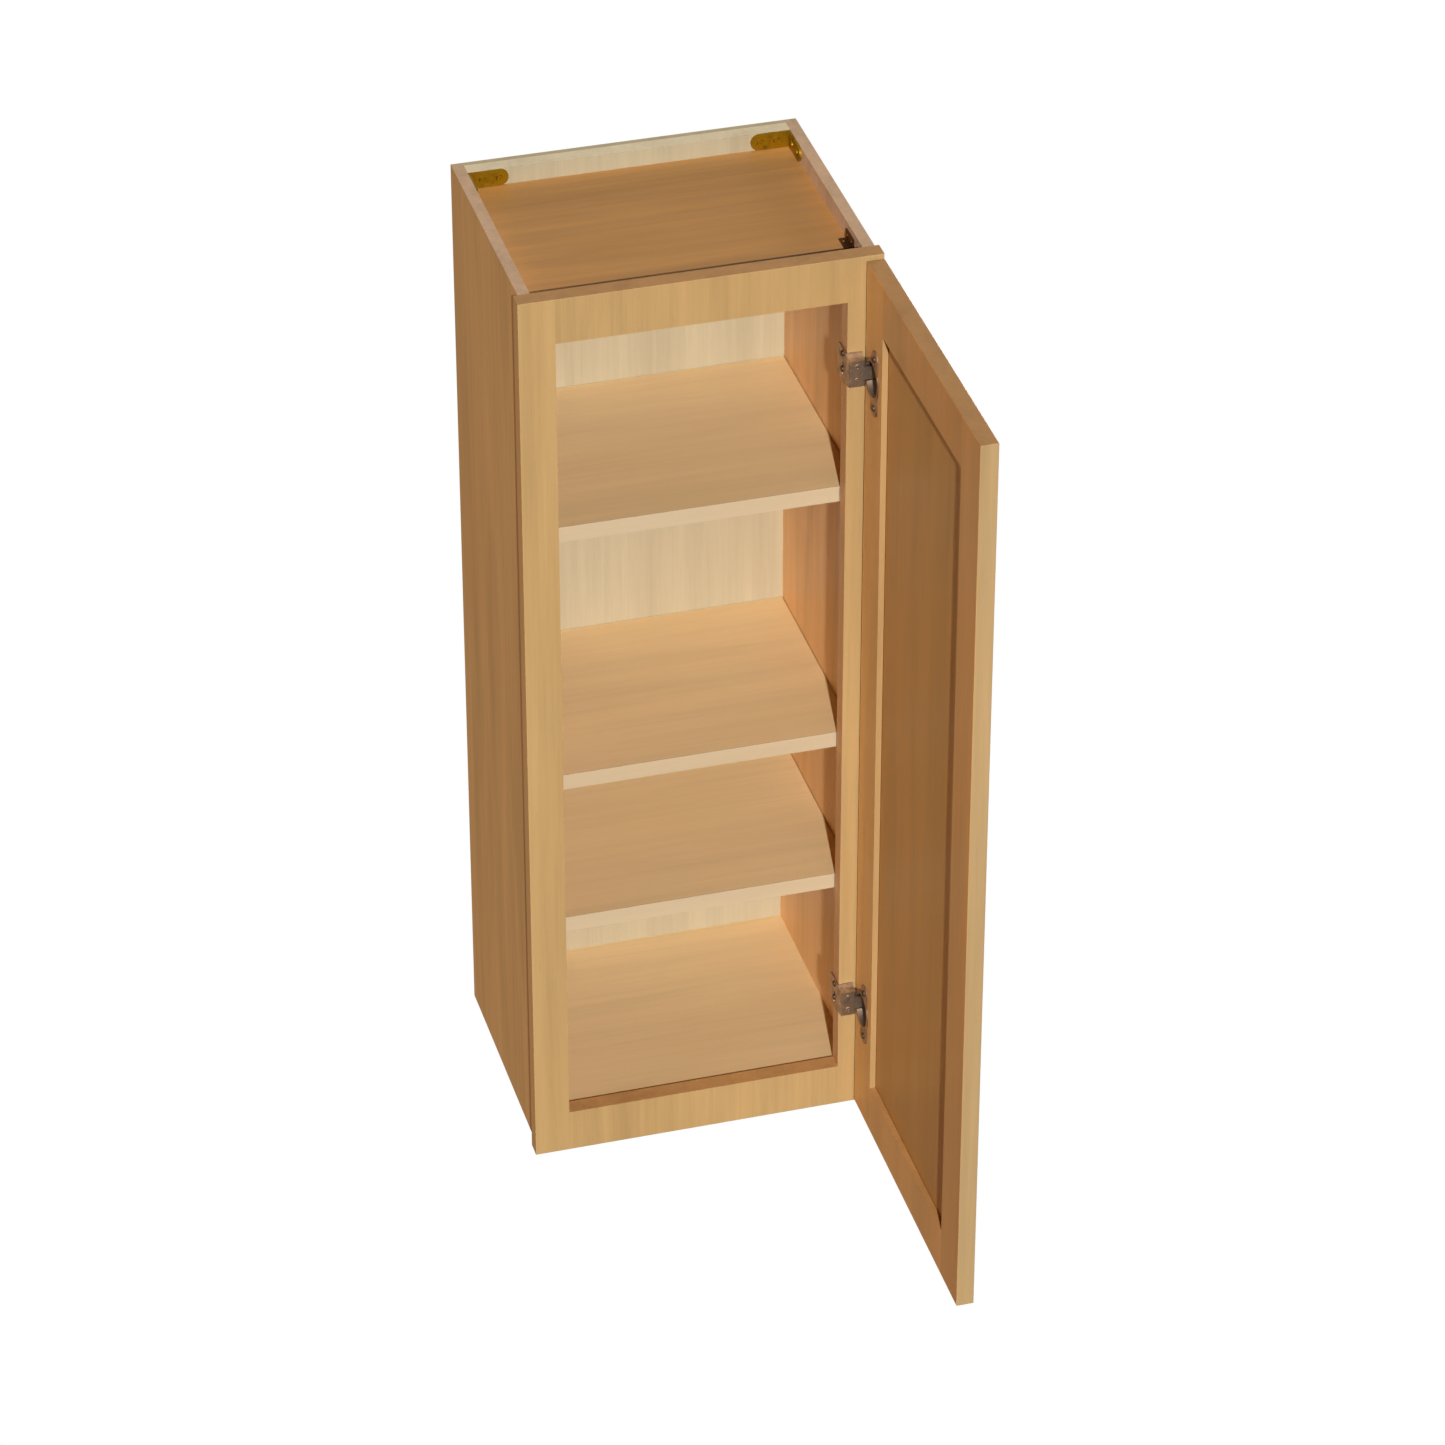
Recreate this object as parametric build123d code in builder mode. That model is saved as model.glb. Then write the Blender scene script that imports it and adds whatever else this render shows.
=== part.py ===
"""Face-frame wall cabinet with one framed door, standing open on two compact hinges.

Millimetres. +X to the right as seen from the front, +Y towards the wall, +Z up.
The origin is the centre of the back, on the wall plane. The door is modelled a quarter turn open.
"""
from build123d import *
import os

os.makedirs("parts", exist_ok=True)

# --- Case and face frame -----------------------------------------------------------------------
width = 381.0                 # over the face frame
height = 1066.8
depth = 301.6                 # wall to the front of the face frame
frame_thickness = 19.05
frame_stile = 38.1            # width of a frame stile
frame_rail = 50.8             # height of a frame rail
frame_overhang = 4.76         # how far the frame stands past each side panel
frame_lip = 1.6               # how far the frame reaches below the case
frame_tenon = 9.5             # length of the stub tenons on the frame rails
frame_tenon_thickness = 6.35
frame_tenon_shoulder = 6.35

side_thickness = 12.7
deck_thickness = 12.7         # top and bottom panels
deck_dado = 4.76              # how deep the decks sit in the sides
top_recess = 19.05            # top panel below the top edge
floor_step = 3.2              # bottom panel below the top of the bottom rail
back_thickness = 6.35
back_rabbet = 6.35            # how far the back reaches into the sides
hanging_rail_thickness = 15.9

# --- Shelves -----------------------------------------------------------------------------------
shelf_heights = {"lower": 295.0, "middle": 479.0, "upper": 785.5}   # upper faces, from the bottom
shelf_thickness = 18.2
shelf_setback = 3.4           # shelf front behind the face frame
shelf_edge_band = 1.0
shelf_end_gap = 0.8
shelf_back_gap = 0.6
shelf_pin_radius = 2.5
shelf_pin_length = 8.5
shelf_pin_drop = 5.5          # pin axis below the shelf
shelf_pin_inset = 40.0        # pin from the shelf's front and back edges
shelf_tab = (9.0, 8.0, 2.0)   # flat tab under the shelf: reach, width, thickness
shelf_pin_plate = (1.5, 9.5)  # upright plate on the side panel: thickness, height

# --- Door --------------------------------------------------------------------------------------
door_reveal = 3.97            # frame left showing round the closed door
door_thickness = 19.05
door_member = 57.15           # width of the door's stiles and rails
door_gap = 3.0                # closed door to the face frame
door_ease = 1.6               # rounded back corner on the hinge edge
panel_thickness = 5.8
panel_groove = 9.5            # depth of the groove
panel_groove_width = 6.35
panel_play = 0.5              # panel edges to the groove's floor
arris = 0.8                   # rounding of the outer edges of the door and the face frame

# --- Hinges ------------------------------------------------------------------------------------
hinge_heights = {"upper": 939.0, "lower": 144.5}   # hinge centres, from the bottom
pin_inset = 7.85              # pin axis from the door's hinge edge and from its back face
pin_radius = 1.5
pin_clearance = 0.05
cup_radius = 20.0
cup_centre = 24.5             # cup axis from the door's hinge edge
cup_depth = 12.5
cup_wall = 0.9
pocket_edge = 3.4             # squared pocket round the pin, from the door's hinge edge
pocket_half_height = 11.5
flange_thickness = 1.0
flange_rim = 2.5
flange_pocket_rim = 1.4
ear_offset = 9.5              # screw holes from the cup axis
ear_spacing = 57.0
ear_radius = 9.5
cup_screw_radius = 1.75
cup_screw_length = 13.0
cup_screw_head = (3.8, 1.6)   # radius, height
base_half_height = 18.5
base_thickness = 1.6
base_front_thickness = 1.4
base_length = 27.0            # reach along the edge of the frame stile
base_corner = 4.0
base_slot = (16.0, 5.0)       # slot for the adjusting screw: length, width
base_slot_drop = 5.0          # slot centre below the hinge centre
base_hole_rise = 13.0         # upper screw above the hinge centre
base_screw_setback = 9.5      # screws behind the face of the frame
base_screw_radius = 1.75
base_screw_length = 17.0
base_screw_head = (3.6, 1.8)  # radius, height
arm_half_height = 15.0
arm_front = 13.9              # front of the arm's body from the face of the frame
arm_to_pin = 10.7             # side of the arm's body from the pin axis
arm_inset = -1.2              # arm's body from the edge of the frame stile
arm_groove = (1.2, 0.8)       # two grooves pressed in the arm's front: width, depth
arm_groove_offset = 5.2       # grooves from the middle of the arm
arm_ease = 1.6                # rounded front edges of the arm
neck_half_height = 7.5
neck_front = 3.05             # neck faces, in front of and behind the pin axis
neck_back = 0.4
knuckle_radius = 2.6
cam_radius = 3.4
cam_height = 0.5              # how far the cam screws stand out of the arm
cam_seat = 4.0
cam_rise = 8.0                # cam screws above and below the hinge centre
cam_driver = (3.4, 0.85, 2.0)  # crossed slots for the driver: length, width, depth

# --- Corner hardware in the top recess ----------------------------------------------------------
brace_arm = 43.0
brace_width = 18.4
brace_thickness = 2.0
brace_screw_steps = (15.0, 33.0)    # screws from the corner
brace_screw_radius = 1.6
brace_screw_length = 9.5
brace_screw_head = (3.6, 1.6)       # radius, height
clip_length = 26.0
clip_setback = 47.0           # clip's front end behind the face of the frame
clip_foot = 9.0
clip_upright = 12.0
clip_thickness = 1.5
clip_screw_radius = 1.1
clip_screw_length = 8.0
clip_screw_spacing = 14.0
clip_screw_head = (2.3, 1.1)  # radius, height
clip_screw_rise = 7.2         # upright's screws above the deck
clip_screw_reach = 5.4        # foot's screws from the side panel

# --- Proportions of every cross-head screw, as shares of the head's radius and height ------------
cross_length = 1.0
cross_width = 0.24
cross_depth = 0.7
head_taper = 24               # degrees

# --- Planes that the pieces share ---------------------------------------------------------------
bottom_z, top_z = -height / 2, height / 2
case_bottom_z = bottom_z + frame_lip
front_y = -depth
frame_back_y = front_y + frame_thickness
back_face_y = -back_thickness
frame_x = width / 2
stile_inner_x = frame_x - frame_stile
side_outer_x = frame_x - frame_overhang
side_inner_x = side_outer_x - side_thickness
deck_top_z = top_z - top_recess
deck_under_z = deck_top_z - deck_thickness
floor_top_z = bottom_z + frame_rail - floor_step
floor_under_z = floor_top_z - deck_thickness
shelf_front_y = frame_back_y + shelf_setback
shelf_back_y = back_face_y - shelf_back_gap
shelf_pin_y = (shelf_front_y + shelf_pin_inset, shelf_back_y - shelf_pin_inset)
rail_front_y = back_face_y - hanging_rail_thickness
brace_z = deck_top_z + top_recess / 2
clip_y = front_y + clip_setback + clip_length / 2
clip_screw_y = (clip_y - clip_screw_spacing / 2, clip_y + clip_screw_spacing / 2)
clip_upright_screw_z = deck_top_z + clip_screw_rise
clip_foot_screw_x = side_inner_x - clip_screw_reach

door_width = width - 2 * door_reveal
door_bottom_z, door_top_z = bottom_z + door_reveal, top_z - door_reveal
pin_x = door_width / 2 - pin_inset
pin_y = front_y - door_gap - pin_inset
door_back_x = pin_x - pin_inset              # the open door's back face
door_front_x = door_back_x + door_thickness
door_hinge_y = pin_y + pin_inset             # the open door's hinge edge
door_latch_y = door_hinge_y - door_width
groove_back_x = door_back_x + (door_thickness - panel_groove_width) / 2
groove_x = (groove_back_x, groove_back_x + panel_groove_width)


# --- Shared shapes ------------------------------------------------------------------------------
def block(x, y, z, mode=Mode.ADD):
    """Add or cut the square block that fills the ranges x, y and z."""
    with BuildSketch(Plane.XY.offset(z[0])) as outline:
        with Locations(((x[0] + x[1]) / 2, (y[0] + y[1]) / 2)):
            Rectangle(x[1] - x[0], y[1] - y[0])
    extrude(outline.sketch, amount=z[1] - z[0], mode=mode)


def bore(plane, radius, length, mode=Mode.SUBTRACT):
    """Cut, or add, a round rod that starts on the plane and runs along its normal."""
    with BuildSketch(plane) as outline:
        Circle(radius)
    extrude(outline.sketch, amount=length, mode=mode)


def crossed_slots(plane, length, width, depth):
    """Cut two crossed slots for a driver, from the plane along its normal."""
    with BuildSketch(plane) as slots:
        Rectangle(length, width)
        Rectangle(width, length)
    extrude(slots.sketch, amount=depth, mode=Mode.SUBTRACT)


def cross_head_screw(plane, head, shank_radius, shank_length):
    """Add a screw whose head rests on the plane and whose shank runs along the plane's normal."""
    head_radius, head_height = head
    bore(plane, shank_radius, shank_length, mode=Mode.ADD)
    with BuildSketch(plane) as seat:
        Circle(head_radius)
    extrude(seat.sketch, amount=-head_height, taper=head_taper)
    crossed_slots(
        plane.offset(-head_height),
        head_radius * cross_length,
        head_radius * cross_width,
        head_height * cross_depth,
    )


def facing(direction, x, y, z):
    """The plane through a point, with its normal along the direction."""
    return Plane(origin=(x, y, z), z_dir=direction)


# --- Side panels, housed for the decks and the back, bored for the shelf pins -------------------
for name, hand in (("side_left", -1), ("side_right", 1)):
    with BuildPart() as side:
        inner, outer = hand * side_inner_x, hand * side_outer_x
        dado = inner + hand * deck_dado
        rabbet = inner + hand * back_rabbet
        block(sorted((inner, outer)), (frame_back_y, 0), (case_bottom_z, top_z))
        for dado_z in ((deck_under_z, deck_top_z), (floor_under_z, floor_top_z)):
            block(sorted((inner, dado)), (frame_back_y, back_face_y), dado_z, Mode.SUBTRACT)
        block(sorted((inner, rabbet)), (back_face_y, 0), (case_bottom_z, top_z), Mode.SUBTRACT)
        for shelf_height in shelf_heights.values():
            pin_z = bottom_z + shelf_height - shelf_thickness - shelf_pin_drop
            for y in shelf_pin_y:
                bore(facing((hand, 0, 0), inner, y, pin_z), shelf_pin_radius, shelf_pin_length)
        if hand > 0:
            for y in clip_screw_y:
                clip_hole = facing((1, 0, 0), inner, y, clip_upright_screw_z)
                bore(clip_hole, clip_screw_radius, clip_screw_length)
        for step in brace_screw_steps:
            brace_hole = facing((hand, 0, 0), inner, rail_front_y - step, brace_z)
            bore(brace_hole, brace_screw_radius, brace_screw_length)
    side.part.label = name
    export_step(side.part, f"parts/{name}.step")

# --- Decks, back and hanging rails ----------------------------------------------------------------
deck_x = side_inner_x + deck_dado

with BuildPart() as top_panel:
    block((-deck_x, deck_x), (frame_back_y, back_face_y), (deck_under_z, deck_top_z))
    for y in clip_screw_y:
        clip_hole = facing((0, 0, -1), clip_foot_screw_x, y, deck_top_z)
        bore(clip_hole, clip_screw_radius, clip_screw_length)
top_panel.part.label = "top_panel"
export_step(top_panel.part, "parts/top_panel.step")

with BuildPart() as bottom_panel:
    block((-deck_x, deck_x), (frame_back_y, back_face_y), (floor_under_z, floor_top_z))
bottom_panel.part.label = "bottom_panel"
export_step(bottom_panel.part, "parts/bottom_panel.step")

with BuildPart() as back_panel:
    back_x = side_inner_x + back_rabbet
    block((-back_x, back_x), (back_face_y, 0), (case_bottom_z, top_z))
back_panel.part.label = "back_panel"
export_step(back_panel.part, "parts/back_panel.step")

with BuildPart() as top_hanging_rail:
    block((-side_inner_x, side_inner_x), (rail_front_y, back_face_y), (deck_top_z, top_z))
    for step in brace_screw_steps:
        for hand in (-1, 1):
            brace_hole = facing((0, 1, 0), hand * (side_inner_x - step), rail_front_y, brace_z)
            bore(brace_hole, brace_screw_radius, brace_screw_length)
top_hanging_rail.part.label = "top_hanging_rail"
export_step(top_hanging_rail.part, "parts/top_hanging_rail.step")

with BuildPart() as bottom_hanging_rail:
    block((-side_inner_x, side_inner_x), (rail_front_y, back_face_y), (case_bottom_z, floor_under_z))
bottom_hanging_rail.part.label = "bottom_hanging_rail"
export_step(bottom_hanging_rail.part, "parts/bottom_hanging_rail.step")

# --- Face frame: full-height stiles, rails with stub tenons ---------------------------------------
frame_mid_y = (front_y + frame_back_y) / 2
tenon_y = (frame_mid_y - frame_tenon_thickness / 2, frame_mid_y + frame_tenon_thickness / 2)
rail_z = {"top": (top_z - frame_rail, top_z), "bottom": (bottom_z, bottom_z + frame_rail)}
tenon_x = stile_inner_x + frame_tenon


def shouldered(z):
    """The height of a tenon, inside the height of its rail."""
    return z[0] + frame_tenon_shoulder, z[1] - frame_tenon_shoulder


base_screw_y = front_y + base_screw_setback
for name, hand in (("frame_stile_left", -1), ("frame_stile_right", 1)):
    with BuildPart() as frame_stile_piece:
        block(sorted((hand * stile_inner_x, hand * frame_x)), (front_y, frame_back_y), (bottom_z, top_z))
        front_edges = frame_stile_piece.edges().group_by(Axis.Y)[0]
        fillet(front_edges.sort_by(Axis((0, 0, 0), (hand, 0, 0)))[1:], arris)
        for z in rail_z.values():
            mortise_x = sorted((hand * stile_inner_x, hand * tenon_x))
            block(mortise_x, tenon_y, shouldered(z), Mode.SUBTRACT)
        if hand > 0:
            for hinge_height in hinge_heights.values():
                for rise in (base_hole_rise, -base_slot_drop):
                    hole_z = bottom_z + hinge_height + rise
                    hole = facing((1, 0, 0), stile_inner_x, base_screw_y, hole_z)
                    bore(hole, base_screw_radius, base_screw_length - base_thickness)
    frame_stile_piece.part.label = name
    export_step(frame_stile_piece.part, f"parts/{name}.step")

for name, z in rail_z.items():
    with BuildPart() as frame_rail_piece:
        block((-stile_inner_x, stile_inner_x), (front_y, frame_back_y), z)
        front_edges = frame_rail_piece.edges().group_by(Axis.Y)[0].sort_by(Axis.Z)
        fillet(front_edges[-1] if name == "top" else front_edges[0], arris)
        block((-tenon_x, tenon_x), tenon_y, shouldered(z))
    frame_rail_piece.part.label = f"frame_rail_{name}"
    export_step(frame_rail_piece.part, f"parts/frame_rail_{name}.step")

# --- Shelves with banded front edges, and the pins that they rest on ------------------------------
shelf_x = side_inner_x - shelf_end_gap
for name, shelf_height in shelf_heights.items():
    shelf_z = (bottom_z + shelf_height - shelf_thickness, bottom_z + shelf_height)
    with BuildPart() as shelf:
        block((-shelf_x, shelf_x), (shelf_front_y + shelf_edge_band, shelf_back_y), shelf_z)
    shelf.part.label = f"shelf_{name}"
    export_step(shelf.part, f"parts/shelf_{name}.step")

    with BuildPart() as edge_band:
        block((-shelf_x, shelf_x), (shelf_front_y, shelf_front_y + shelf_edge_band), shelf_z)
    edge_band.part.label = f"shelf_{name}_edge_band"
    export_step(edge_band.part, f"parts/shelf_{name}_edge_band.step")

tab_reach, tab_width, tab_thickness = shelf_tab
plate_thickness, plate_height = shelf_pin_plate
with BuildPart() as shelf_pins:
    for shelf_height in shelf_heights.values():
        under_z = bottom_z + shelf_height - shelf_thickness
        for y in shelf_pin_y:
            for hand in (-1, 1):
                wall_x = hand * side_inner_x
                across = (y - tab_width / 2, y + tab_width / 2)
                tab_x = sorted((wall_x, wall_x - hand * tab_reach))
                plate_x = sorted((wall_x, wall_x - hand * plate_thickness))
                block(tab_x, across, (under_z - tab_thickness, under_z))
                block(plate_x, across, (under_z - plate_height, under_z))
                axis = facing((hand, 0, 0), wall_x, y, under_z - shelf_pin_drop)
                bore(axis, shelf_pin_radius, shelf_pin_length, Mode.ADD)
shelf_pins.part.label = "shelf_pins"
export_step(shelf_pins.part, "parts/shelf_pins.step")

# --- Door: grooved stiles and rails round a flat panel ---------------------------------------------
door_x = (door_back_x, door_front_x)
door_z = (door_bottom_z, door_top_z)
hinge_stile_y = (door_hinge_y - door_member, door_hinge_y)
latch_stile_y = (door_latch_y, door_latch_y + door_member)
cup_y = door_hinge_y - cup_centre
ear_y = cup_y - ear_offset


def cup_outline(plane, inset, rim=0.0, pocket_rim=0.0):
    """The cup seen along its axis: a round bowl with a squared pocket towards the hinge edge."""
    near_y = door_hinge_y - pocket_edge - inset + pocket_rim
    pocket_height = 2 * (pocket_half_height - inset + pocket_rim)
    with BuildSketch(plane) as outline:
        Circle(cup_radius - inset + rim)
        with Locations(((near_y - cup_y) / 2, 0)):
            Rectangle(near_y - cup_y, pocket_height)
    return outline.sketch


def cup_plane(x, hinge_z):
    """The plane across the cup's axis at x, with its own x along +Y and its own y along +Z."""
    return Plane(origin=(x, cup_y, hinge_z), x_dir=(0, 1, 0), z_dir=(1, 0, 0))


with BuildPart() as door_stile_hinge:
    block(door_x, hinge_stile_y, door_z)
    back_corner = door_stile_hinge.edges().filter_by(Axis.Z).group_by(Axis.X)[0].sort_by(Axis.Y)[-1]
    fillet(back_corner, door_ease)
    end_faces = door_stile_hinge.faces().sort_by(Axis.Z)
    front_corner = door_stile_hinge.edges().filter_by(Axis.Z).group_by(Axis.X)[-1].sort_by(Axis.Y)[-1]
    outer_edges = [front_corner]
    for end_face in (end_faces[0], end_faces[-1]):
        outer_edges += end_face.edges().sort_by(Axis.Y)[1:]
    fillet(outer_edges, arris)
    block(groove_x, (hinge_stile_y[0], hinge_stile_y[0] + panel_groove), door_z, Mode.SUBTRACT)
    for hinge_height in hinge_heights.values():
        hinge_z = bottom_z + hinge_height
        extrude(cup_outline(cup_plane(door_back_x, hinge_z), 0), amount=cup_depth, mode=Mode.SUBTRACT)
        for ear_z in (hinge_z - ear_spacing / 2, hinge_z + ear_spacing / 2):
            ear_hole = facing((1, 0, 0), door_back_x, ear_y, ear_z)
            bore(ear_hole, cup_screw_radius, cup_screw_length - flange_thickness)
door_stile_hinge.part.label = "door_stile_hinge"
export_step(door_stile_hinge.part, "parts/door_stile_hinge.step")

with BuildPart() as door_stile_latch:
    block(door_x, latch_stile_y, door_z)
    inner_edges = door_stile_latch.edges().group_by(Axis.Y)[-1]
    fillet([edge for edge in door_stile_latch.edges() if edge not in inner_edges], arris)
    block(groove_x, (latch_stile_y[1] - panel_groove, latch_stile_y[1]), door_z, Mode.SUBTRACT)
door_stile_latch.part.label = "door_stile_latch"
export_step(door_stile_latch.part, "parts/door_stile_latch.step")

door_rail_y = (latch_stile_y[1], hinge_stile_y[0])
door_tenon_y = (latch_stile_y[1] - panel_groove, hinge_stile_y[0] + panel_groove)
door_rails = {
    "top": ((door_top_z - door_member, door_top_z), door_top_z - door_member),
    "bottom": ((door_bottom_z, door_bottom_z + door_member), door_bottom_z + door_member - panel_groove),
}
for name, (z, groove_z) in door_rails.items():
    with BuildPart() as door_rail:
        block(door_x, door_rail_y, z)
        outer_face = door_rail.faces().sort_by(Axis.Z)[-1 if name == "top" else 0]
        fillet(outer_face.edges().filter_by(Axis.Y), arris)
        block(groove_x, door_tenon_y, z)
        block(groove_x, door_tenon_y, (groove_z, groove_z + panel_groove), Mode.SUBTRACT)
    door_rail.part.label = f"door_rail_{name}"
    export_step(door_rail.part, f"parts/door_rail_{name}.step")

panel_reach = panel_groove - panel_play
with BuildPart() as door_panel:
    panel_y = (door_rail_y[0] - panel_reach, door_rail_y[1] + panel_reach)
    panel_z = (door_bottom_z + door_member - panel_reach, door_top_z - door_member + panel_reach)
    block((groove_x[1] - panel_thickness, groove_x[1]), panel_y, panel_z)
door_panel.part.label = "door_panel"
export_step(door_panel.part, "parts/door_panel.step")

# --- Compact hinges: a base that wraps the frame stile, an arm, a pin, and a cup in the door -------
for name, hinge_height in hinge_heights.items():
    hinge_z = bottom_z + hinge_height
    screw_levels = (hinge_z + base_hole_rise, hinge_z - base_slot_drop)
    cam_levels = (hinge_z - cam_rise, hinge_z + cam_rise)

    with BuildPart() as hinge_base:
        base_x = stile_inner_x - base_thickness
        base_z = (hinge_z - base_half_height, hinge_z + base_half_height)
        block((base_x, stile_inner_x), (front_y - base_front_thickness, front_y + base_length), base_z)
        rear_corners = hinge_base.edges().filter_by(Axis.X).group_by(Axis.Y)[-1]
        fillet(rear_corners, base_corner)
        block((base_x, pin_x - arm_to_pin), (front_y - base_front_thickness, front_y), base_z)
        slot_middle = (base_x, base_screw_y, screw_levels[1])
        slot_plane = Plane(origin=slot_middle, x_dir=(0, 0, 1), z_dir=(1, 0, 0))
        with BuildSketch(slot_plane) as slot:
            SlotOverall(*base_slot)
        extrude(slot.sketch, amount=base_thickness, mode=Mode.SUBTRACT)
        bore(facing((1, 0, 0), base_x, base_screw_y, screw_levels[0]), base_screw_radius, base_thickness)
    hinge_base.part.label = f"hinge_base_{name}"
    export_step(hinge_base.part, f"parts/hinge_base_{name}.step")

    with BuildPart() as base_screws:
        for level in screw_levels:
            seat = facing((1, 0, 0), base_x, base_screw_y, level)
            cross_head_screw(seat, base_screw_head, base_screw_radius, base_screw_length)
    base_screws.part.label = f"hinge_base_screws_{name}"
    export_step(base_screws.part, f"parts/hinge_base_screws_{name}.step")

    with BuildPart() as hinge_arm:
        body_x = (stile_inner_x + arm_inset, pin_x - arm_to_pin)
        body_y = (front_y - arm_front, front_y - base_front_thickness)
        arm_z = (hinge_z - arm_half_height, hinge_z + arm_half_height)
        block(body_x, body_y, arm_z)
        front_edges = hinge_arm.edges().filter_by(Axis.Z).group_by(Axis.Y)[0]
        fillet(front_edges, arm_ease)
        neck_y = (pin_y - neck_front, pin_y + neck_back)
        neck_z = (hinge_z - neck_half_height, hinge_z + neck_half_height)
        block((pin_x - arm_to_pin - cam_seat, pin_x), neck_y, neck_z)
        knuckle = facing((0, 0, 1), pin_x, pin_y, neck_z[0])
        bore(knuckle, knuckle_radius, 2 * neck_half_height, Mode.ADD)
        bore(knuckle, pin_radius + pin_clearance, 2 * neck_half_height)
        cam_x = sum(body_x) / 2
        for level in cam_levels:
            bore(facing((0, 1, 0), cam_x, body_y[0], level), cam_radius, cam_seat)
        for groove_middle in (cam_x - arm_groove_offset, cam_x + arm_groove_offset):
            pressed_x = (groove_middle - arm_groove[0] / 2, groove_middle + arm_groove[0] / 2)
            block(pressed_x, (body_y[0], body_y[0] + arm_groove[1]), arm_z, Mode.SUBTRACT)
    hinge_arm.part.label = f"hinge_arm_{name}"
    export_step(hinge_arm.part, f"parts/hinge_arm_{name}.step")

    with BuildPart() as cam_screws:
        for level in cam_levels:
            cam_face = facing((0, 1, 0), cam_x, body_y[0] - cam_height, level)
            bore(cam_face, cam_radius, cam_height + cam_seat, Mode.ADD)
            crossed_slots(cam_face, *cam_driver)
    cam_screws.part.label = f"hinge_cam_screws_{name}"
    export_step(cam_screws.part, f"parts/hinge_cam_screws_{name}.step")

    pin_end = pocket_half_height
    with BuildPart() as hinge_pin:
        bore(facing((0, 0, 1), pin_x, pin_y, hinge_z - pin_end), pin_radius, 2 * pin_end, Mode.ADD)
    hinge_pin.part.label = f"hinge_pin_{name}"
    export_step(hinge_pin.part, f"parts/hinge_pin_{name}.step")

    with BuildPart() as hinge_cup:
        flange_plane = cup_plane(door_back_x - flange_thickness, hinge_z)
        extrude(cup_outline(cup_plane(door_back_x, hinge_z), 0), amount=cup_depth)
        extrude(cup_outline(flange_plane, 0, flange_rim, flange_pocket_rim), amount=flange_thickness)
        ear_plane = Plane(
            origin=(door_back_x - flange_thickness, ear_y, hinge_z), x_dir=(0, 0, 1), z_dir=(1, 0, 0)
        )
        with BuildSketch(ear_plane) as ears:
            SlotCenterToCenter(ear_spacing, 2 * ear_radius)
        extrude(ears.sketch, amount=flange_thickness)
        cavity_depth = cup_depth + flange_thickness - cup_wall
        extrude(cup_outline(flange_plane, cup_wall), amount=cavity_depth, mode=Mode.SUBTRACT)
        bore(facing((0, 0, 1), pin_x, pin_y, hinge_z - pin_end), pin_radius, 2 * pin_end)
        for ear_z in (hinge_z - ear_spacing / 2, hinge_z + ear_spacing / 2):
            ear_hole = facing((1, 0, 0), door_back_x - flange_thickness, ear_y, ear_z)
            bore(ear_hole, cup_screw_radius, flange_thickness)
    hinge_cup.part.label = f"hinge_cup_{name}"
    export_step(hinge_cup.part, f"parts/hinge_cup_{name}.step")

    with BuildPart() as cup_screws:
        for ear_z in (hinge_z - ear_spacing / 2, hinge_z + ear_spacing / 2):
            seat = facing((1, 0, 0), door_back_x - flange_thickness, ear_y, ear_z)
            cross_head_screw(seat, cup_screw_head, cup_screw_radius, cup_screw_length)
    cup_screws.part.label = f"hinge_cup_screws_{name}"
    export_step(cup_screws.part, f"parts/hinge_cup_screws_{name}.step")

# --- Corner braces between the hanging rail and the sides -------------------------------------------
for name, hand in (("left", -1), ("right", 1)):
    wall_x = hand * side_inner_x
    half = brace_width / 2
    with BuildPart() as brace:
        arm_end = brace_arm - half
        rail_arm = Plane(origin=(wall_x, rail_front_y, brace_z), x_dir=(-hand, 0, 0), z_dir=(0, -1, 0))
        side_arm = Plane(origin=(wall_x, rail_front_y, brace_z), x_dir=(0, -1, 0), z_dir=(-hand, 0, 0))
        for arm_plane in (rail_arm, side_arm):
            with BuildSketch(arm_plane) as arm_outline:
                with Locations((arm_end / 2, 0)):
                    Rectangle(arm_end, brace_width)
                with Locations((arm_end, 0)):
                    Circle(half)
                with Locations(*[(step, 0) for step in brace_screw_steps]):
                    Circle(brace_screw_radius, mode=Mode.SUBTRACT)
            extrude(arm_outline.sketch, amount=brace_thickness)
    brace.part.label = f"corner_brace_{name}"
    export_step(brace.part, f"parts/corner_brace_{name}.step")

    with BuildPart() as brace_screws:
        for step in brace_screw_steps:
            rail_seat = facing((0, 1, 0), wall_x - hand * step, rail_front_y - brace_thickness, brace_z)
            side_seat_x = wall_x - hand * brace_thickness
            side_seat = facing((hand, 0, 0), side_seat_x, rail_front_y - step, brace_z)
            reach = brace_screw_length + brace_thickness
            for seat in (rail_seat, side_seat):
                cross_head_screw(seat, brace_screw_head, brace_screw_radius, reach)
    brace_screws.part.label = f"corner_brace_screws_{name}"
    export_step(brace_screws.part, f"parts/corner_brace_screws_{name}.step")

# --- Angle clip at the front right corner of the top recess ------------------------------------------
clip_range_y = (clip_y - clip_length / 2, clip_y + clip_length / 2)
foot_z = (deck_top_z, deck_top_z + clip_thickness)
upright_x = (side_inner_x - clip_thickness, side_inner_x)
with BuildPart() as front_clip:
    block((side_inner_x - clip_foot, side_inner_x), clip_range_y, foot_z)
    block(upright_x, clip_range_y, (deck_top_z, deck_top_z + clip_upright))
    for y in clip_screw_y:
        foot_hole = facing((0, 0, 1), clip_foot_screw_x, y, deck_top_z)
        upright_hole = facing((-1, 0, 0), side_inner_x, y, clip_upright_screw_z)
        for hole in (foot_hole, upright_hole):
            bore(hole, clip_screw_radius, clip_thickness)
front_clip.part.label = "front_clip"
export_step(front_clip.part, "parts/front_clip.step")

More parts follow.
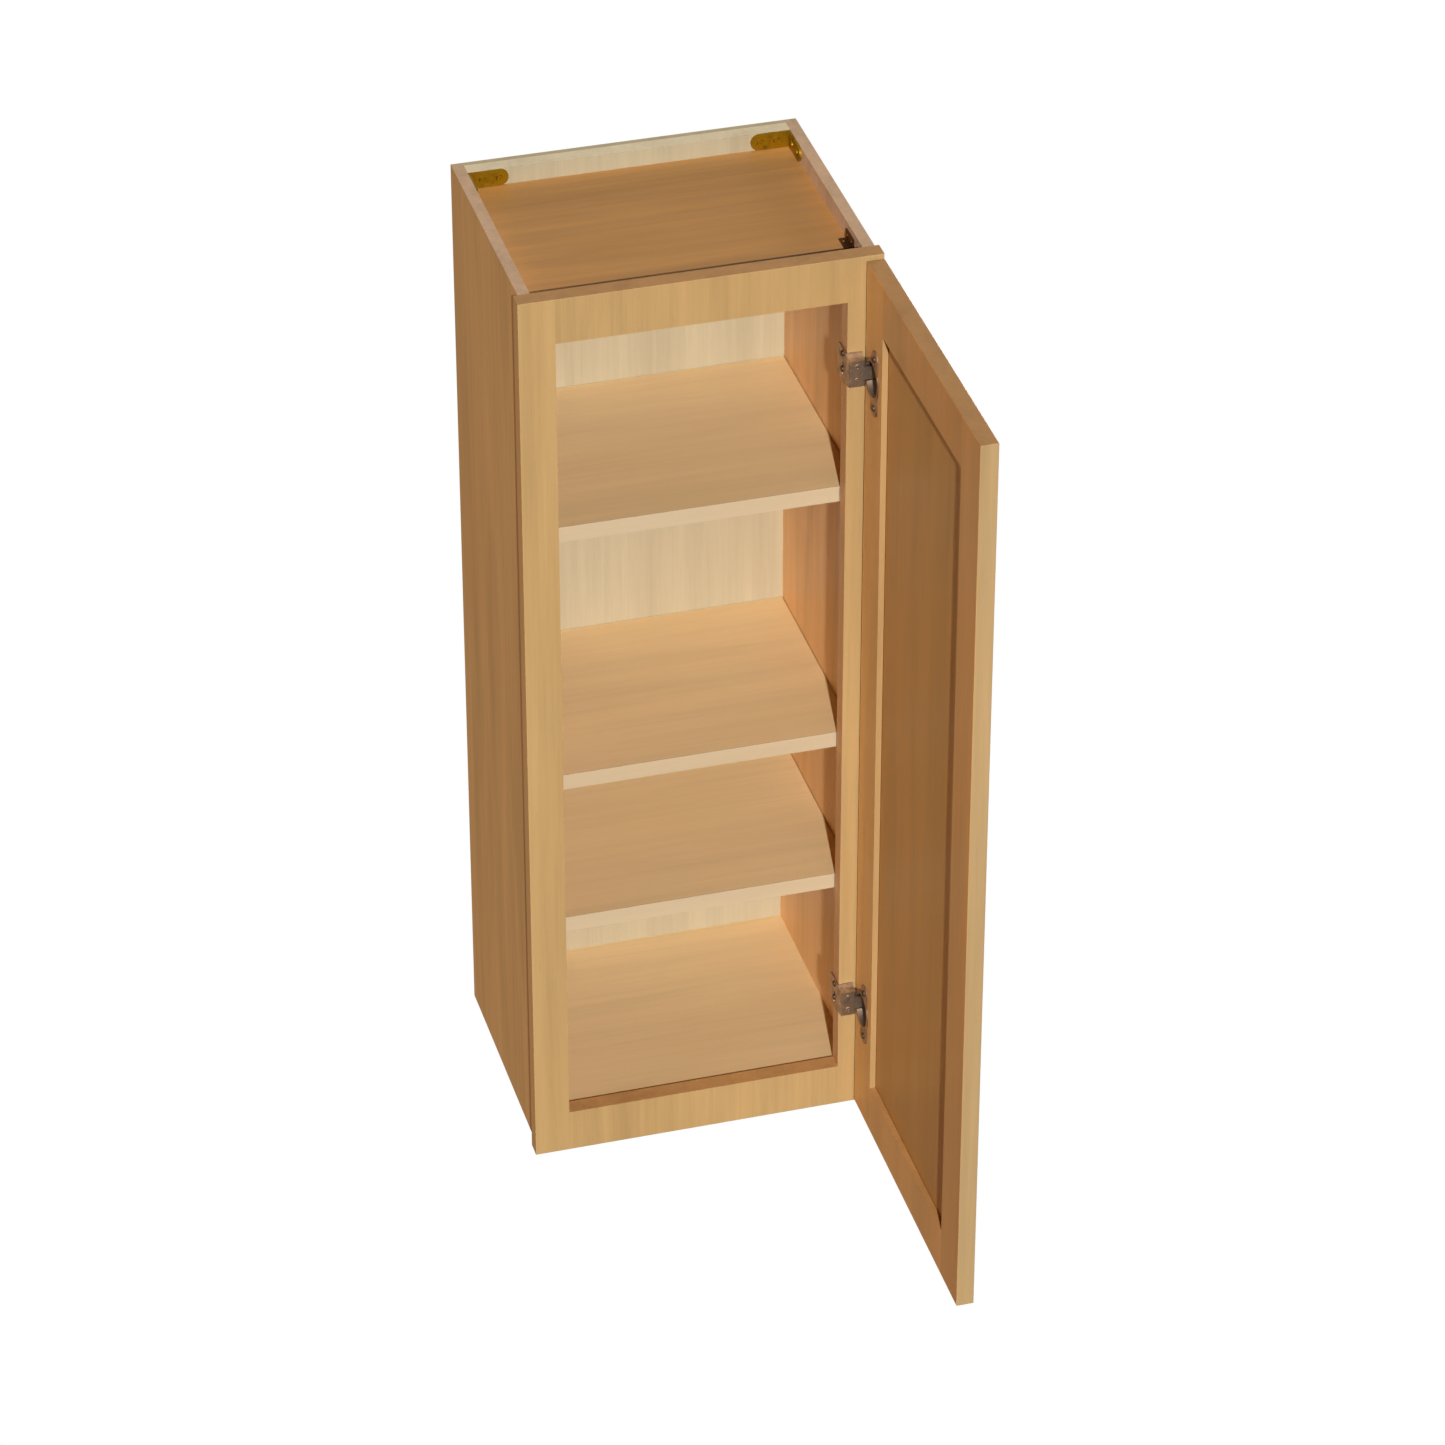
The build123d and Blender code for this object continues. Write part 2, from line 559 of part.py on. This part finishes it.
with BuildPart() as front_clip_screws:
    for y in clip_screw_y:
        foot_seat = facing((0, 0, -1), clip_foot_screw_x, y, foot_z[1])
        upright_seat = facing((1, 0, 0), upright_x[0], y, clip_upright_screw_z)
        for seat in (foot_seat, upright_seat):
            cross_head_screw(seat, clip_screw_head, clip_screw_radius, clip_screw_length + clip_thickness)
front_clip_screws.part.label = "front_clip_screws"
export_step(front_clip_screws.part, "parts/front_clip_screws.step")
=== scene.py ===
import math

import bpy
from mathutils import Euler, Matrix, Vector


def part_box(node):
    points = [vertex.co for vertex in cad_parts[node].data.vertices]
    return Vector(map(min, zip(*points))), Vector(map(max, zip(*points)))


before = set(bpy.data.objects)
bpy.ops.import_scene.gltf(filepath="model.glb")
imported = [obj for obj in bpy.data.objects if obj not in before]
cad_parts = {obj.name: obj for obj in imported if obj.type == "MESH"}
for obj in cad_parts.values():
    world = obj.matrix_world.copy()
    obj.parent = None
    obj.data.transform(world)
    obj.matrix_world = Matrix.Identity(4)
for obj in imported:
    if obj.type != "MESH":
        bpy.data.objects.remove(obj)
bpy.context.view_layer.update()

scene = bpy.context.scene
scene.view_settings.view_transform = "Standard"


# --- Camera: a long lens, above and to the left of the cabinet's front ----------------------------
SENSOR_WIDTH = 36.0
LENS = 148.11
CAMERA_PLACE = (-1.3913, -5.2931, 3.4706)
CAMERA_DOWN = 33.811
CAMERA_ROUND = 15.797
VIEW_DEPTH = 200.0


def make_camera():
    data = bpy.data.cameras.new("camera")
    data.sensor_width = SENSOR_WIDTH
    data.lens = LENS
    data.clip_end = VIEW_DEPTH
    camera = bpy.data.objects.new("camera", data)
    camera.location = CAMERA_PLACE
    camera.rotation_euler = Euler((math.radians(90 - CAMERA_DOWN), 0.0, math.radians(-CAMERA_ROUND)))
    scene.collection.objects.link(camera)
    scene.camera = camera


# --- Light ----------------------------------------------------------------------------------------
# Each sun has the way that its light travels, its colour and strength, and its width in degrees.
SUNS = {
    "key": ((0.18, 1.0, -0.53), (3.5, 3.5, 3.5), 1.2),
    "back": ((-0.75, -0.65, -0.06), (3.4, 3.2, 3.0), 30.0),
    "left": ((1.0, -0.9, -0.25), (0.2, 0.03, 0.0), 20.0),
}
WHITE = (1.0, 1.0, 1.0)
SKY_LIGHT = (0.004, 0.002, 0.001)
SHINE_LIGHT = (0.45, 0.43, 0.40)
FLOOR_LIGHT = (0.30, 0.195, 0.119)
FLOOR_HEIGHT = -4.5
FLOOR_HALF = 140.0


def opaque(colour):
    """A colour as Blender's sockets take it, with alpha 1."""
    return tuple(colour[:3]) + (1.0,)


def make_sun(name, travel, colour, width):
    data = bpy.data.lights.new(name, "SUN")
    data.energy = 1.0
    data.angle = math.radians(width)
    data.color = colour
    sun = bpy.data.objects.new(name, data)
    sun.rotation_euler = Vector(travel).to_track_quat("-Z", "Y").to_euler()
    scene.collection.objects.link(sun)


def glow(tree, kind, colour):
    made = tree.nodes.new(kind)
    made.inputs["Color"].default_value = opaque(colour)
    return made.outputs[0]


def choose(tree, factor, first, second):
    """The first shader where the factor is 0, and the second where it is 1."""
    made = tree.nodes.new("ShaderNodeMixShader")
    for socket, source in zip(made.inputs, (factor, first, second)):
        tree.links.new(source, socket)
    return made.outputs[0]


def make_world():
    """An even pale studio. It looks white, and gives less light than it shows."""
    world = bpy.data.worlds.new("studio")
    scene.world = world
    world.use_nodes = True
    tree = world.node_tree
    tree.nodes.clear()
    path = tree.nodes.new("ShaderNodeLightPath")
    soft = glow(tree, "ShaderNodeBackground", SKY_LIGHT)
    shine = glow(tree, "ShaderNodeBackground", SHINE_LIGHT)
    seen = glow(tree, "ShaderNodeBackground", WHITE)
    unseen = choose(tree, path.outputs["Is Glossy Ray"], soft, shine)
    shown = choose(tree, path.outputs["Is Camera Ray"], unseen, seen)
    out = tree.nodes.new("ShaderNodeOutputWorld")
    tree.links.new(shown, out.inputs["Surface"])


def floor_material():
    """It looks white, and gives the warm light of a pale floor."""
    material = bpy.data.materials.new("floor_pale")
    material.use_nodes = True
    tree = material.node_tree
    tree.nodes.clear()
    path = tree.nodes.new("ShaderNodeLightPath")
    soft = glow(tree, "ShaderNodeEmission", FLOOR_LIGHT)
    seen = glow(tree, "ShaderNodeEmission", WHITE)
    shown = choose(tree, path.outputs["Is Camera Ray"], soft, seen)
    out = tree.nodes.new("ShaderNodeOutputMaterial")
    tree.links.new(shown, out.inputs["Surface"])
    return material


def make_floor():
    """A plain pale floor, well below the hanging cabinet."""
    mesh = bpy.data.meshes.new("floor")
    corners = [
        (x * FLOOR_HALF, y * FLOOR_HALF, FLOOR_HEIGHT) for x, y in ((-1, -1), (1, -1), (1, 1), (-1, 1))
    ]
    mesh.from_pydata(corners, [], [(0, 1, 2, 3)])
    mesh.materials.append(floor_material())
    floor = bpy.data.objects.new("floor", mesh)
    scene.collection.objects.link(floor)


# --- Building a material --------------------------------------------------------------------------
def srgb(code):
    """Linear colour of six hexadecimal digits."""
    values = [int(code[i : i + 2], 16) / 255 for i in (0, 2, 4)]
    return tuple(v / 12.92 if v <= 0.04045 else ((v + 0.055) / 1.055) ** 2.4 for v in values)


def scaled(colour, amount):
    return tuple(c * amount for c in colour)


class Graph:
    """Short names for building a material's nodes."""

    def __init__(self, material):
        material.use_nodes = True
        self.material = material
        self.tree = material.node_tree
        self.shader = self.tree.nodes["Principled BSDF"]

    def node(self, kind, **values):
        made = self.tree.nodes.new("ShaderNode" + kind)
        for key, value in values.items():
            setattr(made, key, value)
        return made

    def link(self, source, target):
        self.tree.links.new(source, target)

    def feed(self, value, socket):
        """Give a socket a number, a colour or another node's output."""
        if isinstance(value, (int, float)):
            socket.default_value = value
        elif isinstance(value, tuple):
            socket.default_value = opaque(value)
        else:
            self.link(value, socket)

    def coords(self, scale, shift):
        """A place on the cabinet, stretched and shifted."""
        place = self.node("TexCoord")
        mapping = self.node("Mapping")
        mapping.inputs["Location"].default_value = shift
        mapping.inputs["Scale"].default_value = scale
        self.link(place.outputs["Object"], mapping.inputs["Vector"])
        return mapping.outputs["Vector"]

    def parts(self, kind):
        """The X, Y and Z outputs of a place (Object) or of the way that a face looks (Normal)."""
        place = self.node("TexCoord")
        apart = self.node("SeparateXYZ")
        self.link(place.outputs[kind], apart.inputs[0])
        return apart.outputs

    def noise(self, vector, scale, detail, rough, distortion=0.0):
        made = self.node("TexNoise")
        made.inputs["Scale"].default_value = scale
        made.inputs["Detail"].default_value = detail
        made.inputs["Roughness"].default_value = rough
        made.inputs["Distortion"].default_value = distortion
        self.link(vector, made.inputs["Vector"])
        return made.outputs["Fac"]

    def span(self, value, low, high, to_low=0.0, to_high=1.0):
        made = self.node("MapRange")
        made.inputs["From Min"].default_value = low
        made.inputs["From Max"].default_value = high
        made.inputs["To Min"].default_value = to_low
        made.inputs["To Max"].default_value = to_high
        self.link(value, made.inputs["Value"])
        return made.outputs["Result"]

    def math(self, operation, *values):
        made = self.node("Math", operation=operation)
        for socket, value in zip(made.inputs, values):
            self.feed(value, socket)
        return made.outputs[0]

    def mix(self, factor, first, second, blend="MIX"):
        made = self.node("Mix", data_type="RGBA", blend_type=blend)
        for index, value in ((0, factor), (6, first), (7, second)):
            self.feed(value, made.inputs[index])
        return made.outputs[2]

    def tint(self, colour, factor):
        return self.mix(1.0, colour, factor, "MULTIPLY")

    def ramp(self, value, stops):
        made = self.node("ValToRGB")
        points = made.color_ramp.elements
        while len(points) < len(stops):
            points.new(0.5)
        for point, (position, colour) in zip(points, stops):
            point.position = position
            point.color = opaque(colour)
        self.link(value, made.inputs["Fac"])
        return made.outputs["Color"]

    def bump(self, height, distance, strength):
        made = self.node("Bump")
        made.inputs["Distance"].default_value = distance
        made.inputs["Strength"].default_value = strength
        self.link(height, made.inputs["Height"])
        self.link(made.outputs["Normal"], self.shader.inputs["Normal"])

    def set_colour(self, colour):
        self.link(colour, self.shader.inputs["Base Color"])

    def get_colour(self):
        """The output that feeds the shader's colour."""
        return self.shader.inputs["Base Color"].links[0].from_socket


# --- Wood -----------------------------------------------------------------------------------------
# Each pattern has how far it is squeezed across the fibres and along them, then its noise's scale,
# detail, roughness and distortion.
BANDS = ((9.0, 0.9), 2.2, 3.0, 0.5, 0.6)
STREAKS = ((60.0, 1.6), 2.0, 4.0, 0.6, 0.3)
FIBRES = ((260.0, 6.0), 2.0, 3.0, 0.6, 0.0)
FLECKS = ((420.0, 26.0), 2.0, 2.0, 0.5, 0.0)
PATCHES = ((1.0, 1.0), 3.5, 2.0, 0.5, 0.0)
SEED_SHIFT = (1.7, 2.3, 3.1)

# The part of each noise's range that is used.
FIGURE_RANGE = (0.34, 0.66)
STREAK_RANGE = (0.3, 0.7)
FIBRE_RANGE = (0.35, 0.75)
FLECK_RANGE = (0.60, 0.76)
PATCH_RANGE = (0.35, 0.7)

# Where each stop of the figure lies, and how far its tone is from the middle one, in parts of the figure.
FIGURE_STOPS = ((0.0, -1.0), (0.45, -0.15), (0.75, 0.30), (1.0, 0.65))
BAND_SHARE = 0.62
WARM_FACTOR = (1.05, 0.93, 0.82)
WARM_SHARE = 0.5
PATCH_STRENGTH = 0.5
FIBRE_SHADE = 0.72
FIBRE_STRENGTH = 1.25
FLECK_SHADE = 0.45
FLECK_STRENGTH = 0.62
FIBRE_HEIGHT = 0.5
FLECK_HEIGHT = 0.6
WOOD_RELIEF = 0.00025
WOOD_BUMP = 0.35
WOOD_ROUGHNESS = (0.36, 0.50)
WOOD_SHINE = 0.35


def wood(name, tone, seed, grain, figure):
    """Close-grained wood under a satin finish.

    tone is its middle colour, grain the axis that the fibres follow, and figure the pattern's strength.
    """
    g = Graph(bpy.data.materials.new(name))
    along = "XYZ".index(grain)
    shift = scaled(SEED_SHIFT, seed)

    def pattern(squeeze, scale, detail, rough, distortion):
        across, lengthways = squeeze
        stretch = tuple(lengthways if axis == along else across for axis in range(3))
        return g.noise(g.coords(stretch, shift), scale, detail, rough, distortion)

    bands = pattern(*BANDS)
    streaks = pattern(*STREAKS)
    fibres = pattern(*FIBRES)
    flecks = g.span(pattern(*FLECKS), *FLECK_RANGE)
    patches = pattern(*PATCHES)

    broad = g.math("MULTIPLY", bands, BAND_SHARE)
    fine = g.math("MULTIPLY", streaks, 1.0 - BAND_SHARE)
    stops = [(place, scaled(tone, 1.0 + figure * part)) for place, part in FIGURE_STOPS]
    body = g.ramp(g.span(g.math("ADD", broad, fine), *FIGURE_RANGE), stops)

    warm = tuple(min(1.0, part * factor) for part, factor in zip(tone, WARM_FACTOR))
    warmth = g.span(patches, *PATCH_RANGE, 0.0, PATCH_STRENGTH)
    colour = g.mix(warmth, body, g.mix(WARM_SHARE, body, warm))
    fibre_depth = g.span(fibres, *FIBRE_RANGE, 0.0, figure * FIBRE_STRENGTH)
    colour = g.mix(fibre_depth, colour, scaled(tone, FIBRE_SHADE))
    fleck_depth = g.math("MULTIPLY", flecks, figure * FLECK_STRENGTH)
    g.set_colour(g.mix(fleck_depth, colour, scaled(tone, FLECK_SHADE)))

    g.link(g.span(streaks, *STREAK_RANGE, *WOOD_ROUGHNESS), g.shader.inputs["Roughness"])
    g.shader.inputs["Specular IOR Level"].default_value = WOOD_SHINE
    raised = g.math("MULTIPLY", fibres, FIBRE_HEIGHT)
    sunk = g.math("MULTIPLY", flecks, FLECK_HEIGHT)
    g.bump(g.math("SUBTRACT", raised, sunk), WOOD_RELIEF, WOOD_BUMP)
    return g.material


# --- Metal ----------------------------------------------------------------------------------------
# Each pattern has its stretch along X, Y and Z, then its noise's scale, detail and roughness.
BRUSHING = ((160.0, 160.0, 6.0), 8.0, 3.0, 0.6)
DULLNESS = ((1.0, 1.0, 1.0), 90.0, 4.0, 0.6)
BRUSHING_RANGE = (0.4, 0.7)
DULLNESS_RANGE = (0.3, 0.7)
METAL_SEED_SHIFT = (0.9, 1.3, 0.7)
TONE_STOP = 0.55
BRIGHT_FACTOR = 1.15
BRUSHED_SHEEN_FACTOR = 1.35
BRUSHED_SHEEN_STRENGTH = 0.25
ROUGHER = 0.14
SMOOTHER = 0.06
METAL_RELIEF = 0.0001
METAL_BUMP = 0.3


def metal(name, tone, dark, seed, rough):
    """Plated or painted metal with brushing, dull patches and dirt in its low places. Its colour is
    lighter along the brushing, as painted sheen.
    """
    g = Graph(bpy.data.materials.new(name))
    shift = scaled(METAL_SEED_SHIFT, seed)

    def pattern(stretch, scale, detail, rough):
        return g.noise(g.coords(stretch, shift), scale, detail, rough)

    brushed = pattern(*BRUSHING)
    dull = pattern(*DULLNESS)
    stops = [(0.0, dark), (TONE_STOP, tone), (1.0, scaled(tone, BRIGHT_FACTOR))]
    colour = g.ramp(g.span(dull, *DULLNESS_RANGE), stops)
    # Painted sheen: the colour is made lighter along the brushing's streaks.
    shine = g.span(brushed, *BRUSHING_RANGE, 0.0, BRUSHED_SHEEN_STRENGTH)
    g.set_colour(g.mix(shine, colour, scaled(tone, BRUSHED_SHEEN_FACTOR)))
    g.shader.inputs["Metallic"].default_value = 1.0
    roughness = g.span(dull, *DULLNESS_RANGE, rough + ROUGHER, rough - SMOOTHER)
    g.link(roughness, g.shader.inputs["Roughness"])
    g.bump(brushed, METAL_RELIEF, METAL_BUMP)
    return g.material


# --- Tones that change from face to face: stains, raw edges and painted light ---------------------
SIDE_INNER_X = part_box("side_right")[0].x
SIDE_TOP_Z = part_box("side_right")[1].z
RECESS_FLOOR_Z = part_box("top_panel")[1].z
# How far from a side panel's inner face its outer stain begins, and where it is whole.
STAIN_START = 0.0061
STAIN_END = 0.0067
# The depth over which the tone above a level begins.
BLEND = 0.0004
# How squarely a face looks along an axis where its painted light begins, and where it is whole.
FACING_RANGE = (0.4, 0.8)


def sided(material, outer):
    """Give a side panel its outer stain, its top edge's raw tone, and painted light: a paler tone above
    the deck, and on the left side a lighter outer tint.
    """
    g = Graph(material)
    body = g.get_colour()
    place = g.parts("Object")
    outside = g.span(g.math("ABSOLUTE", place[0]), SIDE_INNER_X + STAIN_START, SIDE_INNER_X + STAIN_END)
    # Painted light: the same board is made paler and bluer above the deck, where the light falls
    # differently.
    above = g.span(place[2], RECESS_FLOOR_Z - BLEND, RECESS_FLOOR_Z)
    top = g.span(place[2], SIDE_TOP_Z - BLEND, SIDE_TOP_Z - BLEND / 2)
    colour = g.mix(above, body, g.tint(body, SIDE_RECESS_PAINTED_LIGHT))
    colour = g.mix(outside, colour, g.tint(body, outer))
    g.set_colour(g.mix(top, colour, g.tint(body, SIDE_TOP_FACTOR)))


def paint_facing_light(material, turns):
    """Tint the faces that look a given way, as painted light and shade. Each turn holds that way's axis
    and sign, and a factor.
    """
    g = Graph(material)
    colour = g.get_colour()
    normal = g.parts("Normal")
    for (axis, sign), factor in turns:
        towards = g.math("MULTIPLY", normal[axis], sign)
        colour = g.mix(g.span(towards, *FACING_RANGE), colour, g.tint(colour, factor))
    g.set_colour(colour)


# --- The cabinet's finishes -----------------------------------------------------------------------
FRAME_TONE = (0.528, 0.345, 0.146)
DOOR_TONE = (0.520, 0.356, 0.170)
DECK_TONE = (0.605, 0.300, 0.091)
SIDE_TONE = (0.895, 0.52, 0.230)
NATURAL_TONE = (0.492, 0.419, 0.275)
SHELF_TONE = (0.774, 0.553, 0.284)
BAND_TONE = (0.602, 0.482, 0.312)

# Outer stain of each side panel. On the left side it is also painted light: that left-looking face is
# made far lighter than on the right.
SIDE_OUTER_STAIN_AND_PAINTED_LIGHT = {"side_left": (1.055, 1.185, 1.04), "side_right": (0.62, 0.69, 0.68)}
SIDE_TOP_FACTOR = (0.825, 0.935, 1.28)
# Painted light: the side panels' paler, bluer tone above the deck.
SIDE_RECESS_PAINTED_LIGHT = (0.9, 1.19, 1.9)
# Painted light: the frame's left-looking edges are made lighter, and the up-looking faces of the frame
# and door warmer and darker.
FRAME_EDGE_PAINTED_LIGHT = (1.48, 1.19, 1.22)
FRAME_OUTER_EDGE_PAINTED_LIGHT = (1.55, 1.55, 1.45)
FRAME_TOP_PAINTED_LIGHT = (1.07, 0.86, 0.73)
DOOR_TOP_PAINTED_LIGHT = (1.07, 0.81, 0.60)
# Painted light: the door's back, which looks left and gets only grazing light, is made lighter than its
# front; the bottom rail's back lighter still.
DOOR_BACK_PAINTED_LIGHT = (1.62, 1.33, 1.03)
TOP_RAIL_BACK_PAINTED_LIGHT = (1.53, 1.25, 0.96)
BOTTOM_RAIL_BACK_PAINTED_LIGHT = (1.90, 1.55, 1.20)
HINGE_STILE_BACK_PAINTED_LIGHT = (1.72, 1.39, 1.0)
# Painted shade: the hinge stile's faces that look to the front, such as the lit wall of the panel's
# recess, are made darker.
HINGE_STILE_EDGE_PAINTED_SHADE = (0.96, 0.88, 0.78)
# Painted light: the panel's back is made lighter too.
PANEL_BACK_PAINTED_LIGHT = (1.32, 1.0, 0.62)
# Painted light: the up-looking faces of the hanging rail and the back panel are made lighter.
HANGING_RAIL_TOP_PAINTED_LIGHT = (1.9, 1.9, 1.9)
BACK_TOP_PAINTED_LIGHT = (1.25, 1.2, 1.1)
# Painted reflection: the hinge cup's left-looking flange is made a lighter tan, for the wood that it
# reflects.
FLANGE_PAINTED_REFLECTION = (1.75, 1.5, 1.2)

LEFT = (0, -1)
FRONT = (1, -1)
UP = (2, 1)
# The first name that a node starts with gives its turns. The door rests open, so its back looks left.
# Every turn here is painted light: it makes the faces that look one way lighter, darker or warmer, as
# light falls on them.
PAINTED_LIGHT_FACES = {
    "frame_stile_left": ((LEFT, FRAME_OUTER_EDGE_PAINTED_LIGHT), (UP, FRAME_TOP_PAINTED_LIGHT)),
    "frame": ((LEFT, FRAME_EDGE_PAINTED_LIGHT), (UP, FRAME_TOP_PAINTED_LIGHT)),
    "door_panel": ((LEFT, PANEL_BACK_PAINTED_LIGHT),),
    "door_rail_top": ((LEFT, TOP_RAIL_BACK_PAINTED_LIGHT), (UP, DOOR_TOP_PAINTED_LIGHT)),
    "door_rail_bottom": ((LEFT, BOTTOM_RAIL_BACK_PAINTED_LIGHT), (UP, DOOR_TOP_PAINTED_LIGHT)),
    "door_stile_hinge": (
        (LEFT, HINGE_STILE_BACK_PAINTED_LIGHT),
        (FRONT, HINGE_STILE_EDGE_PAINTED_SHADE),
        (UP, DOOR_TOP_PAINTED_LIGHT),
    ),
    "door_stile_latch": ((LEFT, DOOR_BACK_PAINTED_LIGHT), (UP, DOOR_TOP_PAINTED_LIGHT)),
    "top_hanging": ((UP, HANGING_RAIL_TOP_PAINTED_LIGHT),),
    "back_panel": ((UP, BACK_TOP_PAINTED_LIGHT),),
}

# Node, tone, axis of the fibres and strength of the figure. The row's number seeds the pattern.
WOODS = (
    ("frame_stile_left", FRAME_TONE, "Z", 0.14),
    ("frame_stile_right", FRAME_TONE, "Z", 0.14),
    ("frame_rail_top", FRAME_TONE, "Z", 0.20),
    ("frame_rail_bottom", FRAME_TONE, "Z", 0.20),
    ("door_stile_hinge", DOOR_TONE, "Z", 0.15),
    ("door_stile_latch", DOOR_TONE, "Z", 0.15),
    ("door_rail_top", DOOR_TONE, "Z", 0.15),
    ("door_rail_bottom", DOOR_TONE, "Z", 0.15),
    ("door_panel", DOOR_TONE, "Z", 0.15),
    ("top_panel", DECK_TONE, "X", 0.22),
    ("side_left", SIDE_TONE, "Z", 0.22),
    ("side_right", SIDE_TONE, "Z", 0.22),
    ("back_panel", NATURAL_TONE, "Z", 0.14),
    ("top_hanging_rail", NATURAL_TONE, "Z", 0.14),
    ("bottom_hanging_rail", NATURAL_TONE, "Z", 0.14),
    ("bottom_panel", SHELF_TONE, "X", 0.10),
    ("shelf_lower", SHELF_TONE, "X", 0.10),
    ("shelf_middle", SHELF_TONE, "X", 0.10),
    ("shelf_upper", SHELF_TONE, "X", 0.10),
    ("shelf_lower_edge_band", BAND_TONE, "X", 0.06),
    ("shelf_middle_edge_band", BAND_TONE, "X", 0.06),
    ("shelf_upper_edge_band", BAND_TONE, "X", 0.06),
)

# Each metal has its tone, the tone of its low places, a seed and its roughness.
METALS = {
    "warm_nickel": ("bca088", "8a7260", 1, 0.48),
    "dull_nickel": ("8e7a68", "5c4a3c", 6, 0.62),
    "arm_steel": ("bcab98", "82746a", 5, 0.40),
    # This dark tone is the pins' steel; on the hinge screws it is painted shade, so they look like shaded
    # holes.
    "dark_steel_and_painted_shade": ("6a5848", "44362c", 2, 0.45),
    "brass": ("a8841a", "7c5c08", 3, 0.45),
    "bronze": ("6a4626", "382010", 4, 0.50),
}

# The first name that a node starts with gives its metal.
METAL_NODES = {
    "corner_brace": "brass",
    "front_clip": "bronze",
    "hinge_arm": "arm_steel",
    "hinge_cam_screws": "arm_steel",
    # Painted shade: the hinge screws are darkened to look like shaded holes.
    "hinge_cup_screws": "dark_steel_and_painted_shade",
    "hinge_base_screws": "dark_steel_and_painted_shade",
    "hinge_pin": "dark_steel_and_painted_shade",
    "shelf_pins": "dark_steel_and_painted_shade",
    "hinge_cup": "dull_nickel",
    "hinge_base": "warm_nickel",
}


def first_match(table, node):
    """The value of the table's first name that the node's name starts with, or None."""
    return next((value for name, value in table.items() if node.startswith(name)), None)


def paint(node, material):
    """Give a CAD node its finished material, in every slot."""
    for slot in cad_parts[node].material_slots:
        slot.material = material


def finish_woods():
    for seed, (node, tone, grain, figure) in enumerate(WOODS, start=1):
        material = wood("wood_" + node, tone, seed, grain, figure)
        if node in SIDE_OUTER_STAIN_AND_PAINTED_LIGHT:
            sided(material, SIDE_OUTER_STAIN_AND_PAINTED_LIGHT[node])
        turns = first_match(PAINTED_LIGHT_FACES, node)
        if turns:
            paint_facing_light(material, turns)
        paint(node, material)


def finish_metals():
    materials = {
        name: metal(name, srgb(tone), srgb(dark), seed, rough)
        for name, (tone, dark, seed, rough) in METALS.items()
    }
    # Painted reflection of the wood on the left-looking faces of the hinge cup's flange.
    paint_facing_light(materials["dull_nickel"], ((LEFT, FLANGE_PAINTED_REFLECTION),))
    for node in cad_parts:
        name = first_match(METAL_NODES, node)
        if name:
            paint(node, materials[name])


make_camera()
make_world()
make_floor()
for name, (travel, colour, width) in SUNS.items():
    make_sun(name, travel, colour, width)
finish_woods()
finish_metals()
